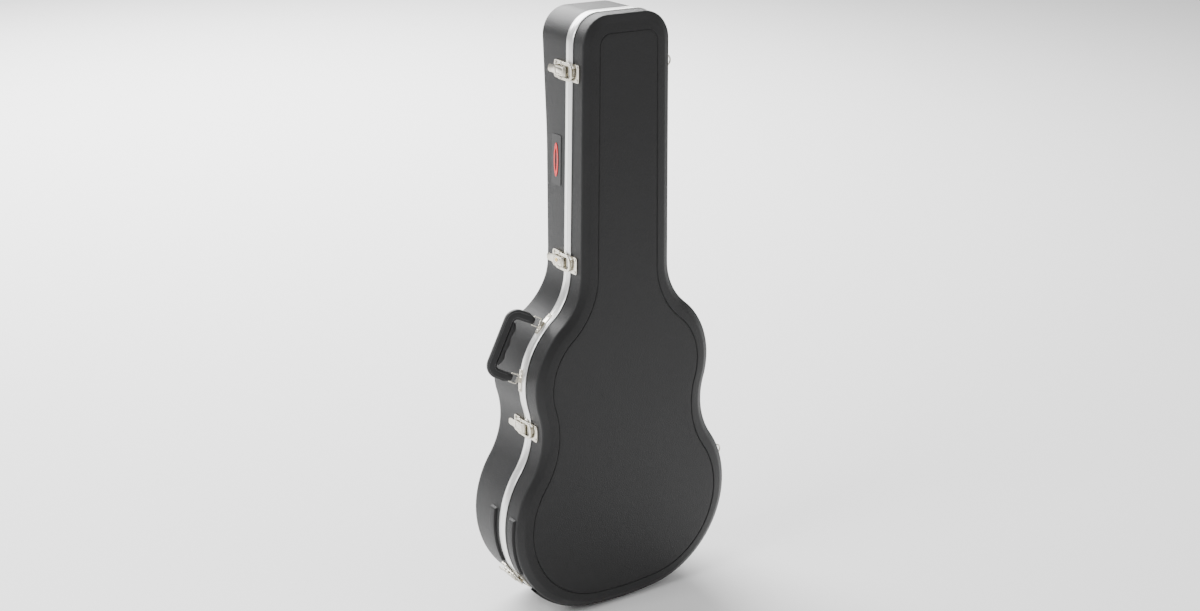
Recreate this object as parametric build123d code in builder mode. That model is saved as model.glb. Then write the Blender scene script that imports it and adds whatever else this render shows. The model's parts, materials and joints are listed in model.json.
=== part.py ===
"""Hard-shell case for a dreadnought guitar, standing on its tail end.

X runs across the case with the handle and latches on the -X side and the hinges on the +X side.
Y runs from front to back: the two shells meet at y = 0, the lid is in front of it.
Z runs along the case, and the feet stand on z = 0.
"""

from build123d import *
import os
from math import acos, atan2, cos, degrees, hypot, radians, sin, sqrt, tan

os.makedirs("parts", exist_ok=True)

# ---- the outline of the case, seen from the front -------------------------------------------
floor_gap = 3.5  # from the floor up to the lowest point of the outline
case_length = 1100.0
head_half = 88.0  # half the width at the head end
head_corner_r = 51.0
neck_half = 94.0  # half the width where the neck section ends
neck_end = 560.0  # height above the outline's lowest point
neck_blend_r = 113.0
upper_half = 187.5
upper_r = 146.0
upper_height = 450.0
waist_r = 138.0
lower_half = 232.5
lower_r = 181.5
tail_r = 634.0

# ---- the depth of the two shells ------------------------------------------------------------
lid_depth_tail = 60.0
lid_depth_head = 46.0
lid_rise = 8.0  # from the crease of the lid up to its flat panel
lid_border = 27.0  # width of the sloping border of the lid
base_depth_tail = 99.0
base_depth_body = 108.0
base_depth_neck = 69.0
base_depth_mid_neck = 76.0
base_depth_head = 97.0
body_top = 440.0  # heights where the back of the base changes slope
neck_start = 650.0
head_start = 880.0
back_blend_r = 320.0
base_edge_r = 9.0
shell_wall = 3.0

# ---- the panel groove and the bumper rails --------------------------------------------------
groove_inset = 30.0
groove_width = 2.4
groove_depth = 1.3
rail_height = 4.5
rail_start = 22.0  # from the parting plane
rail_width = 20.0
side_rail_low = 116.0
side_rail_high = 222.0
tail_rail_top = 66.0

# ---- the aluminium valance ------------------------------------------------------------------
valance_width = 10.0  # on each shell
valance_skin = 1.5
valance_web = 4.0
tongue_height = 2.0
tongue_width = 1.4
tongue_clear = 0.4

# ---- foam and lining ------------------------------------------------------------------------
foam_gap = 2.2  # between the inside of a shell wall and the foam
foam_wall = 21.0
base_foam_floor = 12.0
lid_foam_floor = 7.0
lining = 1.6
neck_well_depth = 24.0
head_well_depth = 52.0
cradle_low = 770.0
cradle_length = 34.0
cradle_notch = 62.0
cradle_proud = 14.0
box_width = 112.0
box_length = 46.0
box_low = 604.0
box_depth = 30.0
flap_thick = 4.0
flap_clear = 1.0
pull_width = 16.0
pull_length = 9.0

# ---- latches --------------------------------------------------------------------------------
# x is measured from the parting plane towards the back, h from the wall outwards
latch_heights = (1006.5, 669.5, 371.5, 86.0)
locking_latch = 2
latch_width = 31.0
latch_plate = 3.0
latch_plate_reach = 45.0
catch_reach = 31.0
catch_thick = 2.2
hook_top = 5.0
hook_half = 7.0
lever_pivot_x = 6.0
pivot_h = 6.4
loop_throw = 10.0  # from the lever's pivot to the loop's
lever_reach = 51.0
lever_width = 17.0
tab_width = 14.0
tab_length = 20.0
lever_thick = 1.6
lever_top = 9.6
cheek_thick = 1.3
barrel_r = 2.6
latch_pin_r = 1.2
run_clear = 0.05  # round a pin that turns
side_clear = 0.35  # between faces that slide past each other
loop_low = 5.4
loop_thick = 2.0
hook_room = 6.7  # from the edge of the lid's valance to the loop's tip
loop_back = 33.0
loop_rail = 5.0
loop_corner_r = 12.0
lock_r = 3.4
lock_x = 23.0

# ---- handle ---------------------------------------------------------------------------------
bracket_heights = (561.5, 465.0)
trim_near = 0.6  # from the parting plane to the hardware on the valance
trim_far = 9.6
bracket_half = 22.0
bracket_thick = 1.6
bracket_barrel_r = 2.6
bracket_barrel_half = 4.5
swing_h = 8.6  # the handle's pivot line, out from the wall
link_r = 1.2
link_half = 8.0
link_reach = 14.0
link_hook = 4.0
handle_tilt = 20.0  # leaning to the back
handle_width = 130.0
handle_root = 11.0
handle_reach = 63.0
handle_arm = 20.0
handle_bar = 17.0
handle_thick = 13.0
handle_corner_r = 16.0
grip_length = 78.0
grip_thick = 20.0
grip_swell = 6.0

# ---- strap rings, hinges, badge, rivets -----------------------------------------------------
ring_heights = (1003.5, 219.0)
ring_h = 6.2
ring_wire_r = 1.5
ring_half = 9.5
ring_reach = 29.0
clip_half = 12.0
clip_thick = 1.4
clip_barrel_half = 5.5
hinge_length = 32.0
hinge_slack = 34.0  # from the lower bout's touching point down to the tail hinge
head_hinge_stand = 8.6  # from the wall of the neck out to the hinge line
knuckle_count = 5
knuckle_r = 3.2
knuckle_gap = 0.3
hinge_pin_r = 1.5
hinge_stand = 7.5  # from the outline out to the hinge line
hinge_leaf = 1.4
badge_height = 846.0
badge_length = 90.0
badge_width = 29.0
badge_x = 39.0
badge_thick = 1.6
emblem_length = 60.0
emblem_width = 13.0
emblem_thick = 0.8
rivet_r = 2.6
rivet_head = 1.3

far = 400.0  # beyond the case in any direction


# ---- plain geometry of the outline ----------------------------------------------------------
def meet_outside(first, first_r, second, second_r, r):
    """Centre, on the +x side, of a circle of radius r that touches two circles from outside."""
    dx, dz = second[0] - first[0], second[1] - first[1]
    span = hypot(dx, dz)
    along = ((first_r + r) ** 2 - (second_r + r) ** 2 + span**2) / (2 * span)
    across = sqrt((first_r + r) ** 2 - along**2)
    ux, uz = dx / span, dz / span
    return (first[0] + ux * along + uz * across, first[1] + uz * along - ux * across)


def beside_line(centre, centre_r, r):
    """Centre of a circle of radius r outside the neck's side line that touches a lower circle."""
    start = (head_half + neck_out[0] * r, case_top + neck_out[1] * r)
    dx, dz = start[0] - centre[0], start[1] - centre[1]
    half_b = dx * neck_down[0] + dz * neck_down[1]
    c = dx**2 + dz**2 - (centre_r + r) ** 2
    run = -half_b - sqrt(half_b**2 - c)
    return (start[0] + neck_down[0] * run, start[1] + neck_down[1] * run)


case_top = floor_gap + case_length
neck_tilt = atan2(neck_half - head_half, case_length - neck_end)
neck_down = (sin(neck_tilt), -cos(neck_tilt))
neck_out = (cos(neck_tilt), sin(neck_tilt))

tail_centre = (0.0, floor_gap + tail_r)
lower_x = lower_half - lower_r
lower_centre = (lower_x, tail_centre[1] - sqrt((tail_r - lower_r) ** 2 - lower_x**2))
upper_centre = (upper_half - upper_r, floor_gap + upper_height)
waist_centre = meet_outside(lower_centre, lower_r, upper_centre, upper_r, waist_r)
blend_centre = beside_line(upper_centre, upper_r, neck_blend_r)
corner_z = case_top - head_corner_r
corner_x = head_half + (-head_corner_r - (corner_z - case_top) * neck_out[1]) / neck_out[0]
corner_centre = (corner_x, corner_z)


def between(a, b, r):
    """Point at distance r from a on the line towards b."""
    span = hypot(b[0] - a[0], b[1] - a[1])
    return (a[0] + (b[0] - a[0]) * r / span, a[1] + (b[1] - a[1]) * r / span)


blend_top = (blend_centre[0] - neck_out[0] * neck_blend_r, blend_centre[1] - neck_out[1] * neck_blend_r)
upper_top = between(upper_centre, blend_centre, upper_r)
waist_top = between(upper_centre, waist_centre, upper_r)
waist_low = between(lower_centre, waist_centre, lower_r)
tail_join = between(tail_centre, lower_centre, tail_r)

# from the head down: centre, radius, +1 where the wall bulges or -1 where it is hollow, lowest point
wall_arcs = (
    (blend_centre, neck_blend_r, -1, upper_top),
    (upper_centre, upper_r, 1, waist_top),
    (waist_centre, waist_r, -1, waist_low),
    (lower_centre, lower_r, 1, tail_join),
)


def wall_at(height, side):
    """Point (x, z) of the wall at a height and the unit vector straight out of it."""
    if height > blend_top[1]:
        x = head_half + (case_top - height) * tan(neck_tilt)
        return (side * x, height), (side * neck_out[0], neck_out[1])
    for centre, radius, bulge, low in wall_arcs:
        if height >= low[1]:
            break
    rise = height - centre[1]
    x = centre[0] + bulge * sqrt(radius**2 - rise**2)
    out = (bulge * (x - centre[0]) / radius, bulge * rise / radius)
    return (side * x, height), (side * out[0], out[1])


def wall_plane(height, side):
    """Plane on the wall: x towards the back of the case, z straight out, y along the wall."""
    point, out = wall_at(height, side)
    return Plane(origin=(point[0], 0, point[1]), x_dir=(0, 1, 0), z_dir=(out[0], 0, out[1]))


def arc_about(centre, radius, start, end):
    """Arc about centre, from the direction of one point to that of another, the short way."""
    first = degrees(atan2(start[1] - centre[1], start[0] - centre[0]))
    last = degrees(atan2(end[1] - centre[1], end[0] - centre[0]))
    CenterArc(centre, radius, first, (last - first + 180) % 360 - 180)


def outline_face(grow):
    """Draw the outline, moved outwards by grow, in the current sketch."""
    out_x, out_z = neck_out[0] * grow, neck_out[1] * grow
    corner_side = (corner_x + neck_out[0] * head_corner_r, corner_z + neck_out[1] * head_corner_r)
    with BuildLine() as path:
        Line((0, case_top + grow), (corner_x, case_top + grow))
        arc_about(corner_centre, head_corner_r + grow, (corner_x, case_top), corner_side)
        Line(
            (corner_side[0] + out_x, corner_side[1] + out_z),
            (blend_top[0] + out_x, blend_top[1] + out_z),
        )
        arc_about(blend_centre, neck_blend_r - grow, blend_top, upper_top)
        arc_about(upper_centre, upper_r + grow, upper_top, waist_top)
        arc_about(waist_centre, waist_r - grow, waist_top, waist_low)
        arc_about(lower_centre, lower_r + grow, waist_low, tail_join)
        arc_about(tail_centre, tail_r + grow, tail_join, (0, floor_gap))
        mirror(about=Plane.YZ)
    make_face(path.edges())


def slab(grow, y_low, y_high):
    """Solid of the outline, grown, between two distances behind the parting plane."""
    with BuildPart() as made:
        with BuildSketch(Plane.XZ.offset(-y_low)):
            outline_face(grow)
        extrude(amount=y_low - y_high)
    return made.part


def ring(inner, outer, y_low, y_high):
    """Band round the outline between two growths."""
    with BuildPart() as made:
        with BuildSketch(Plane.XZ.offset(-y_low)):
            outline_face(outer)
            with BuildSketch(mode=Mode.PRIVATE) as hole:
                outline_face(inner)
            add(hole.sketch, mode=Mode.SUBTRACT)
        extrude(amount=y_low - y_high)
    return made.part


def back_face(inside):
    """Draw the side view of the base, with its back moved in by inside."""
    profile = [
        (base_depth_tail - inside, floor_gap - far),
        (base_depth_tail - inside, floor_gap),
        (base_depth_body - inside, floor_gap + body_top),
        (base_depth_neck - inside, floor_gap + neck_start),
        (base_depth_mid_neck - inside, floor_gap + head_start),
        (base_depth_head - inside, case_top),
        (base_depth_head - inside, case_top + far),
    ]
    with BuildLine() as path:
        radii = [back_blend_r, back_blend_r + inside, back_blend_r - inside]
        back = FilletPolyline(*profile[1:-1], radius=radii)
        Polyline(profile[-2], profile[-1], (0, case_top + far), (0, floor_gap - far), profile[0], profile[1])
    make_face(path.edges())


def front_face(inside):
    """Draw the side view of the lid, with its front moved in by inside."""
    slope = (lid_depth_tail - lid_depth_head) / case_length
    with BuildLine() as path:
        Polyline(
            (0, floor_gap - far),
            (inside - lid_depth_tail - slope * far, floor_gap - far),
            (inside - lid_depth_head + slope * far, case_top + far),
            (0, case_top + far),
            close=True,
        )
    make_face(path.edges())


def base_form(grow, inside, edge_r):
    """Solid of the base: the outline, grown, cut by the side view."""
    with BuildPart() as made:
        with BuildSketch(Plane.XZ):
            outline_face(grow)
        extrude(amount=-far)
        with BuildSketch(Plane.YZ):
            back_face(inside)
        extrude(amount=far, both=True, mode=Mode.INTERSECT)
        if edge_r:
            rim = made.edges().filter_by(lambda e: e.bounding_box().min.Y > 1)
            fillet(rim.filter_by(Axis.X, reverse=True), edge_r)
    return made.part


def lid_form(grow, inside, border):
    """Solid of the lid: a flat panel inside a sloping border."""
    with BuildPart() as made:
        with BuildSketch(Plane.XZ):
            outline_face(grow)
        extrude(amount=far)
        with BuildSketch(Plane.YZ):
            front_face(inside)
        extrude(amount=far, both=True, mode=Mode.INTERSECT)
        front = made.faces().sort_by(Axis.Y)[0]
        chamfer(front.edges(), length=border, length2=lid_rise, reference=front)
    return made.part


def back_depth(height):
    """Distance of the base's back from the parting plane, before its corners are rounded."""
    corners = (
        (floor_gap, base_depth_tail),
        (floor_gap + body_top, base_depth_body),
        (floor_gap + neck_start, base_depth_neck),
        (floor_gap + head_start, base_depth_mid_neck),
        (case_top, base_depth_head),
    )
    for (low, low_depth), (high, high_depth) in zip(corners, corners[1:]):
        if height <= high:
            return low_depth + (high_depth - low_depth) * (height - low) / (high - low)


def finish(part, name):
    """Label a piece and write it to its own file."""
    part.label = name
    export_step(part, f"parts/{name}.step")


def block(x, y, z):
    """Box between two distances on each axis, each given as a (low, high) pair."""
    size = [high - low for low, high in (x, y, z)]
    middle = [(high + low) / 2 for low, high in (x, y, z)]
    with BuildPart(Plane(origin=middle)) as made:
        Box(*size)
    return made.part


def moulded_rails(side):
    """Bumper rails of one shell: one each side of the lower bout and one round the tail."""
    low, high = sorted((side * rail_start, side * (rail_start + rail_width)))
    reach = lower_half + far / 4
    with BuildPart() as made:
        add(ring(-shell_wall / 2, rail_height, low, high))
        with BuildSketch(Plane.XZ):
            with Locations((0, tail_rail_top / 2)):
                Rectangle(2 * reach, tail_rail_top)
            with Locations((0, (side_rail_low + side_rail_high) / 2)):
                Rectangle(2 * reach, side_rail_high - side_rail_low)
        extrude(amount=far, both=True, mode=Mode.INTERSECT)
    return made.part


# ---- shells ---------------------------------------------------------------------------------
inner_edge_r = base_edge_r - shell_wall
badge_pocket = badge_thick / 2
badge_plane = wall_plane(badge_height, -1)

with BuildPart() as base_shell:
    add(base_form(0, 0, base_edge_r))
    add(moulded_rails(1))
    add(base_form(-shell_wall, shell_wall, inner_edge_r), mode=Mode.SUBTRACT)
    add(slab(shell_wall, 0, valance_web), mode=Mode.SUBTRACT)
    with BuildSketch(badge_plane.offset(-badge_pocket)):
        with Locations((badge_x, 0)):
            RectangleRounded(badge_width + 1, badge_length + 1, 3.5)
    extrude(amount=badge_thick, mode=Mode.SUBTRACT)
finish(base_shell.part, "base_shell")

with BuildPart() as groove:
    add(ring(-groove_inset - groove_width / 2, -groove_inset + groove_width / 2, -far, 0))
    with BuildSketch(Plane.YZ):
        front_face(groove_depth)
    extrude(amount=far, both=True, mode=Mode.SUBTRACT)

with BuildPart() as lid_shell:
    add(lid_form(0, 0, lid_border))
    add(moulded_rails(-1))
    add(lid_form(-shell_wall, shell_wall, lid_border - shell_wall), mode=Mode.SUBTRACT)
    add(slab(shell_wall, -valance_web, 0), mode=Mode.SUBTRACT)
    add(groove.part, mode=Mode.SUBTRACT)
finish(lid_shell.part, "lid_shell")

# ---- valance: a channel over the rim of each shell, with a tongue on the base ---------------
channel_inside = -shell_wall - valance_skin
tongue_middle = (channel_inside + valance_skin) / 2


def valance(side):
    """Channel round one shell: a web on the rim and a flange on each face of the wall."""
    low, high = sorted((0, side * valance_width))
    web_low, web_high = sorted((0, side * valance_web))
    with BuildPart() as made:
        add(ring(0, valance_skin, low, high))
        add(ring(channel_inside, -shell_wall, low, high))
        add(ring(channel_inside, valance_skin, web_low, web_high))
    return made.part


with BuildPart() as base_valance:
    add(valance(1))
    add(ring(tongue_middle - tongue_width / 2, tongue_middle + tongue_width / 2, -tongue_height, 1))
finish(base_valance.part, "base_valance")

slot_half = tongue_width / 2 + tongue_clear
with BuildPart() as lid_valance:
    add(valance(-1))
    slot_floor = -tongue_height - tongue_clear
    add(ring(tongue_middle - slot_half, tongue_middle + slot_half, slot_floor, 0), mode=Mode.SUBTRACT)
finish(lid_valance.part, "lid_valance")

# ---- foam, lining, neck cradle and accessory box --------------------------------------------
foam_edge = -shell_wall - foam_gap
well_edge = foam_edge - foam_wall
foam_top = 2.0
body_end = floor_gap + 530.0
well_end = body_end + 30.0
head_well = floor_gap + head_start + 15.0


def base_well(shrink):
    """Hollow of the base: body well, shallow neck well and head well, smaller by shrink."""
    under = shell_wall + base_foam_floor + shrink
    neck_floor = neck_well_depth - shrink
    head_floor = head_well_depth - shrink
    with BuildPart() as made:
        add(slab(well_edge - shrink, -1, far))
        with BuildSketch(Plane.YZ):
            with BuildLine():
                Polyline(
                    (-1, 0),
                    (base_depth_tail - under, 0),
                    (base_depth_tail - under, floor_gap),
                    (base_depth_body - under, floor_gap + body_top),
                    (back_depth(body_end) - under, body_end),
                    (neck_floor, well_end),
                    (neck_floor, head_well),
                    (head_floor, head_well + head_floor),
                    (head_floor, case_top),
                    (-1, case_top),
                    close=True,
                )
            make_face()
        extrude(amount=far, both=True, mode=Mode.INTERSECT)
    return made.part


def lid_well(shrink):
    """Hollow of the lid, smaller by shrink."""
    with BuildPart() as made:
        add(slab(well_edge - shrink, -far, 1))
        with BuildSketch(Plane.YZ):
            front_face(shell_wall + lid_foam_floor + shrink)
        extrude(amount=far, both=True, mode=Mode.INTERSECT)
        add(slab(well_edge - shrink, 0, 1))
    return made.part


flap_width = box_width + 8.0
flap_length = box_length + 10.0
box_high = box_low + box_length
flap_low = box_low - 5.0
flap_high = flap_low + flap_length
well_face = neck_well_depth - lining  # face of the lining in the neck well
flap_back = well_face + flap_thick
flap_bay = block(
    (-flap_width / 2 - flap_clear, flap_width / 2 + flap_clear),
    (0, flap_back + 0.3),
    (flap_low - flap_clear, flap_high + flap_clear),
)
box_bay = block(
    (-box_width / 2, box_width / 2), (0, flap_back + 0.3 + box_depth), (box_low, box_high)
)

with BuildPart() as base_foam:
    add(base_form(foam_edge, shell_wall, inner_edge_r))
    add(slab(0, -1, foam_top), mode=Mode.SUBTRACT)
    add(base_well(0), mode=Mode.SUBTRACT)
    add(flap_bay, mode=Mode.SUBTRACT)
    add(box_bay, mode=Mode.SUBTRACT)
finish(base_foam.part, "base_foam")

with BuildPart() as base_lining:
    add(base_well(0))
    add(base_well(lining), mode=Mode.SUBTRACT)
    add(slab(0, -2, foam_top), mode=Mode.SUBTRACT)
    add(flap_bay, mode=Mode.SUBTRACT)
finish(base_lining.part, "base_lining")

with BuildPart() as lid_foam:
    add(lid_form(foam_edge, shell_wall, lid_border + foam_edge))
    add(slab(0, -foam_top, 1), mode=Mode.SUBTRACT)
    add(lid_well(0), mode=Mode.SUBTRACT)
finish(lid_foam.part, "lid_foam")

with BuildPart() as lid_lining:
    add(lid_well(0))
    add(lid_well(lining), mode=Mode.SUBTRACT)
    add(slab(0, -foam_top, 2), mode=Mode.SUBTRACT)
finish(lid_lining.part, "lid_lining")

cradle_half = head_half + well_edge - lining - 2.0
with BuildPart() as neck_cradle:
    with BuildSketch(Plane.XY.offset(cradle_low)):
        with Locations((0, (well_face - cradle_proud) / 2)):
            Rectangle(2 * cradle_half, well_face + cradle_proud)
        with Locations((0, -cradle_proud - cradle_notch / 10)):
            Circle(cradle_notch / 2, mode=Mode.SUBTRACT)
    extrude(amount=cradle_length)
    fillet(neck_cradle.edges().filter_by(Axis.Z).sort_by(Axis.Y)[:4], 2.5)
finish(neck_cradle.part, "neck_cradle")

with BuildPart() as box_flap:
    add(block((-flap_width / 2, flap_width / 2), (well_face, flap_back), (flap_low, flap_high)))
    fillet(box_flap.edges().filter_by(Axis.Y), 4)
finish(box_flap.part, "accessory_box_flap")

pull_thick = 1.0
with BuildPart() as box_pull:
    add(
        block(
            (-pull_width / 2, pull_width / 2),
            (well_face - pull_thick, well_face),
            (flap_low + 1, flap_low + 1 + pull_length),
        )
    )
    fillet(box_pull.edges().filter_by(Axis.Y), 2)
finish(box_pull.part, "accessory_box_pull")


# ---- hardware helpers -----------------------------------------------------------------------
def side_view(frame):
    """Plane across the wall at a frame's origin: x as in the frame, y straight out."""
    return Plane(origin=frame.origin, x_dir=frame.x_dir, z_dir=-frame.y_dir)


def rod(frame, x, h, y_low, y_high, radius):
    """Round bar along the wall in a wall frame."""
    start = frame.from_local_coords(Vector(x, y_low, h))
    with BuildPart() as made:
        with BuildSketch(Plane(origin=start, z_dir=frame.y_dir)):
            Circle(radius)
        extrude(amount=y_high - y_low)
    return made.part


def bar(frame, corners, y_low, y_high):
    """Prism along the wall: a polygon of (x, h) corners between two distances along it."""
    with BuildPart() as made:
        with BuildSketch(side_view(frame).offset(-y_high)):
            with BuildLine() as path:
                Polyline(*corners, close=True)
            make_face(path.edges())
        extrude(amount=y_high - y_low)
    return made.part


def curved_plate(frame, band, x_low, x_high, half, corner_r):
    """Part of a band round the case that lies behind a rounded rectangle on the wall."""
    with BuildPart() as made:
        with BuildSketch(frame.offset(-20)):
            with Locations(((x_low + x_high) / 2, 0)):
                RectangleRounded(x_high - x_low, 2 * half, corner_r)
        extrude(amount=40)
        add(band, mode=Mode.INTERSECT)
    return made.part


def rivet(height, side, x, surface):
    """Domed rivet head on a plate whose face is a given distance outside the outline."""
    frame = wall_plane(height, side)
    with BuildPart() as made:
        with BuildSketch(frame):
            with Locations((x, 0)):
                Circle(rivet_r)
        extrude(amount=surface + rivet_head)
        top = made.faces().sort_by(Axis(frame.origin, frame.z_dir))[-1]
        fillet(top.edges(), rivet_head * 0.8)
        add(slab(surface, x - 10, x + 10), mode=Mode.SUBTRACT)
    return made.part


def pair_along(frame, reach):
    """The two case heights at a distance each way along the wall from a frame's origin."""
    rise = abs(frame.y_dir.Z) * reach
    return (frame.origin.Z - rise, frame.origin.Z + rise)


trim_face = valance_skin + bracket_thick
seat_edge = valance_width + 0.3
over_valance = ring(valance_skin, latch_plate, trim_near, seat_edge)
on_base_wall = ring(0, latch_plate, seat_edge, latch_plate_reach + 5)
on_lid_wall = ring(0, catch_thick, -catch_reach - 5, -seat_edge)
base_rivets = []
lid_rivets = []

# ---- latches --------------------------------------------------------------------------------
cheek_in = lever_width / 2 + side_clear
cheek_out = cheek_in + cheek_thick
window_half = cheek_out + side_clear
loop_half = window_half + loop_rail
loop_front = -seat_edge - hook_room
loop_pivot_x = lever_pivot_x + loop_throw
lug_out = window_half + 2.6
lever_pins = []

for number, height in enumerate(latch_heights, start=1):
    wall = wall_plane(height, -1)
    half = latch_width / 2

    with BuildPart() as plate:
        add(curved_plate(wall, over_valance, trim_near, seat_edge + 5, half, 2))
        add(curved_plate(wall, on_base_wall, trim_near, latch_plate_reach, half, 6))
        for low in (-cheek_out, cheek_in):
            foot = [
                (lever_pivot_x - 3.2, latch_plate - 1),
                (lever_pivot_x + 3.2, latch_plate - 1),
                (lever_pivot_x + 3.2, pivot_h),
                (lever_pivot_x - 3.2, pivot_h),
            ]
            add(bar(wall, foot, low, low + cheek_thick))
            add(rod(wall, lever_pivot_x, pivot_h, low, low + cheek_thick, 3.2))
        add(rod(wall, lever_pivot_x, pivot_h, -half, half, latch_pin_r), mode=Mode.SUBTRACT)
    finish(plate.part, f"latch_{number}_plate")
    lever_pins.append(rod(wall, lever_pivot_x, pivot_h, -cheek_out, cheek_out, latch_pin_r))

    with BuildPart() as lever:
        with BuildSketch(wall.offset(lever_top - lever_thick)):
            body_reach = lever_reach - tab_length
            with Locations(((lever_pivot_x + body_reach) / 2, 0)):
                Rectangle(body_reach - lever_pivot_x, lever_width)
            with Locations((lever_reach - tab_length * 0.6, 0)):
                RectangleRounded(tab_length * 1.2, tab_width, tab_width / 2 - 0.5)
        extrude(amount=lever_thick)
        fillet(lever.edges().group_by(Axis(wall.origin, wall.z_dir))[-1], 0.5)
        web = [
            (lever_pivot_x, pivot_h - 1.8),
            (loop_pivot_x, pivot_h - 1.8),
            (loop_pivot_x, lever_top - 0.5),
            (lever_pivot_x, lever_top - 0.5),
        ]
        add(bar(wall, web, -lever_width / 2, lever_width / 2))
        for x, bore in ((lever_pivot_x, latch_pin_r + run_clear), (loop_pivot_x, latch_pin_r)):
            add(rod(wall, x, pivot_h, -lever_width / 2, lever_width / 2, barrel_r))
            add(rod(wall, x, pivot_h, -half, half, bore), mode=Mode.SUBTRACT)
        if number == locking_latch:
            with BuildSketch(wall.offset(lever_top - 2 * lever_thick)):
                with Locations((lock_x, 0)):
                    Circle(lock_r + run_clear)
            extrude(amount=3 * lever_thick, mode=Mode.SUBTRACT)
    finish(lever.part, f"latch_{number}_lever")

    loop_pin = rod(wall, loop_pivot_x, pivot_h, -lug_out, lug_out, latch_pin_r)
    finish(loop_pin, f"latch_{number}_loop_pin")

    with BuildPart() as loop:
        with BuildSketch(wall.offset(loop_low)):
            with Locations(((loop_front + loop_back) / 2, 0)):
                length = loop_back - loop_front
                RectangleRounded(length, 2 * loop_half, loop_corner_r)
                RectangleRounded(
                    length - 2 * loop_rail,
                    2 * window_half,
                    loop_corner_r - loop_rail,
                    mode=Mode.SUBTRACT,
                )
        extrude(amount=loop_thick)
        fillet(loop.edges().group_by(Axis(wall.origin, wall.z_dir))[-1], 0.6)
        for low in (-lug_out, window_half):
            add(rod(wall, loop_pivot_x, pivot_h, low, low + lug_out - window_half, 2.4))
        bore = latch_pin_r + run_clear
        add(rod(wall, loop_pivot_x, pivot_h, -half, half, bore), mode=Mode.SUBTRACT)
    finish(loop.part, f"latch_{number}_loop")

    with BuildPart() as catch:
        add(curved_plate(wall, on_lid_wall, -catch_reach, -seat_edge, half, 4))
        hook = [
            (loop_front + 1, catch_thick - 1),
            (loop_front + loop_rail, hook_top),
            (-seat_edge, hook_top),
            (-seat_edge, catch_thick - 1),
        ]
        add(bar(wall, hook, -hook_half, hook_half))
    finish(catch.part, f"latch_{number}_catch")

    for level in pair_along(wall, latch_width * 0.36):
        base_rivets.append(rivet(level, -1, latch_plate_reach - 5, latch_plate))
        lid_rivets.append(rivet(level, -1, -catch_reach + 5, catch_thick))

lever_pin_group = Compound(children=lever_pins)
finish(lever_pin_group, "lever_pins")

locking_wall = wall_plane(latch_heights[locking_latch - 1], -1)
with BuildPart() as lock_cylinder:
    with BuildSketch(locking_wall.offset(lever_top - 3.6)):
        with Locations((lock_x, 0)):
            Circle(lock_r)
    extrude(amount=4.4)
    fillet(lock_cylinder.edges().group_by(Axis(locking_wall.origin, locking_wall.z_dir))[-1], 0.5)
    with BuildSketch(locking_wall.offset(lever_top - 0.8)):
        with Locations((lock_x, 0)):
            Rectangle(1.2, 4.0)
    extrude(amount=4, mode=Mode.SUBTRACT)
finish(lock_cylinder.part, "lock_cylinder")

# ---- handle ---------------------------------------------------------------------------------
upper_spot, lower_spot = (wall_at(level, -1)[0] for level in bracket_heights)
chord = Vector(lower_spot[0] - upper_spot[0], 0, lower_spot[1] - upper_spot[1]).normalized()
chord_out = Vector(chord.Z, 0, -chord.X)
back = Vector(0, 1, 0)
trim_middle = (trim_near + trim_far) / 2
swing_points = [
    Vector(x, trim_middle, z) + chord_out * swing_h for x, z in (upper_spot, lower_spot)
]
on_valance = ring(valance_skin, trim_face, trim_near, trim_far)
lean = radians(handle_tilt)
handle_out = chord_out * cos(lean) + back * sin(lean)
handle_side = back * cos(lean) - chord_out * sin(lean)

links = []
for name, level, point in zip(("upper", "lower"), bracket_heights, swing_points):
    wall = wall_plane(level, -1)
    swing = Plane(origin=point, x_dir=(0, 1, 0), z_dir=chord_out)
    with BuildPart() as bracket:
        reach = bracket_barrel_half
        stem = [(-2, -swing_h), (2, -swing_h), (2, 0), (-2, 0)]
        add(bar(swing, stem, -reach, reach))
        add(rod(swing, 0, 0, -reach, reach, bracket_barrel_r))
        add(slab(valance_skin, 0, 15), mode=Mode.SUBTRACT)
        add(curved_plate(wall, on_valance, trim_near, trim_far, bracket_half, 4))
        add(rod(swing, 0, 0, -reach, reach, link_r + run_clear), mode=Mode.SUBTRACT)
    finish(bracket.part, f"handle_bracket_{name}")
    for level in pair_along(wall, bracket_half - 5):
        base_rivets.append(rivet(level, -1, trim_middle, trim_face))

    wire_plane = Plane(origin=point, x_dir=chord, z_dir=handle_side)
    sign = 1 if (wire_plane.y_dir - handle_out).length < 1 else -1
    with BuildPart() as link:
        with BuildLine(wire_plane) as wire:
            FilletPolyline(
                (-link_hook, sign * link_reach),
                (-link_half, sign * link_reach),
                (-link_half, 0),
                (link_half, 0),
                (link_half, sign * link_reach),
                (link_hook, sign * link_reach),
                radius=1.5 * link_r,
            )
        with BuildSketch(Plane(origin=wire.line @ 0, z_dir=wire.line % 0)):
            Circle(link_r)
        sweep()
    finish(link.part, f"handle_link_{name}")
    links.append(link.part)

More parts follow.
